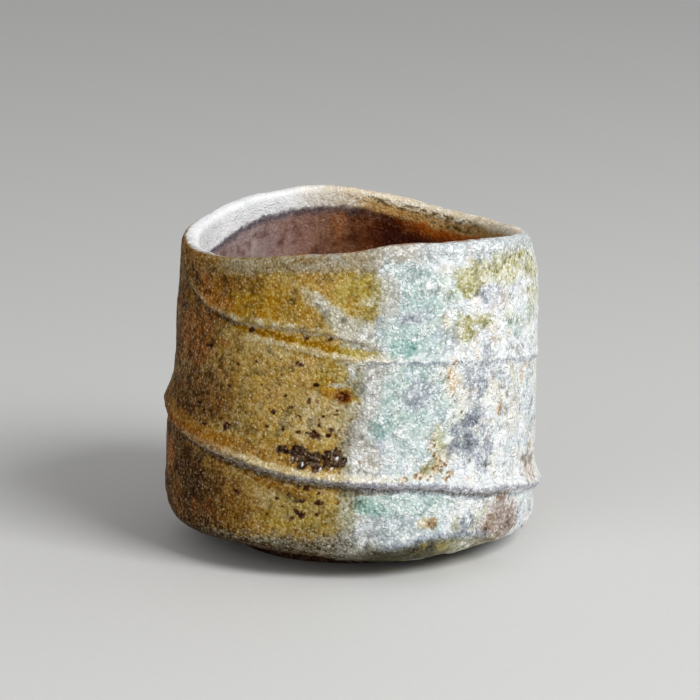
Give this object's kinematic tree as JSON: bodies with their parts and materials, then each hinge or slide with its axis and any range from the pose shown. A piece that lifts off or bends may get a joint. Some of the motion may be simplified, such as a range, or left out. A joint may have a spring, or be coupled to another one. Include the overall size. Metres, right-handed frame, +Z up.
{
  "type": "sake cup",
  "caption": "Small hand-formed stoneware sake cup with a wavy rim and a spiral ridge down its wall, coated in wood-ash glaze, free standing on a low foot ring.",
  "frame": {"origin": "centre of the bounding box's bottom, on the surface that the cup stands on", "axes": "+Z up, out of the mouth; -Y towards the front with the grey-green ash run; +X to the right of that front"},
  "size_m": [0.0657, 0.0663, 0.0574],
  "materials": {
    "bare_clay": "bare wood-fired stoneware, matte and gritty",
    "ochre_ash_glaze": "crusty natural ash glaze, ochre, brown and cream, sugary to satin",
    "green_ash_run": "thick melted ash, grey-green and pale, semi-matte",
    "white_ash_glaze": "pale ash frost, matte and grainy",
    "brown_liner_glaze": "dark red-brown fired surface, satin"
  },
  "bodies": {
    "root": {"clay_wall": "bare_clay", "clay_floor": "bare_clay", "foot_ring": "bare_clay", "ash_coat": "ochre_ash_glaze", "ash_run": "green_ash_run", "lip_coat": "white_ash_glaze", "liner_coat": "brown_liner_glaze"}
  },
  "joints": []
}
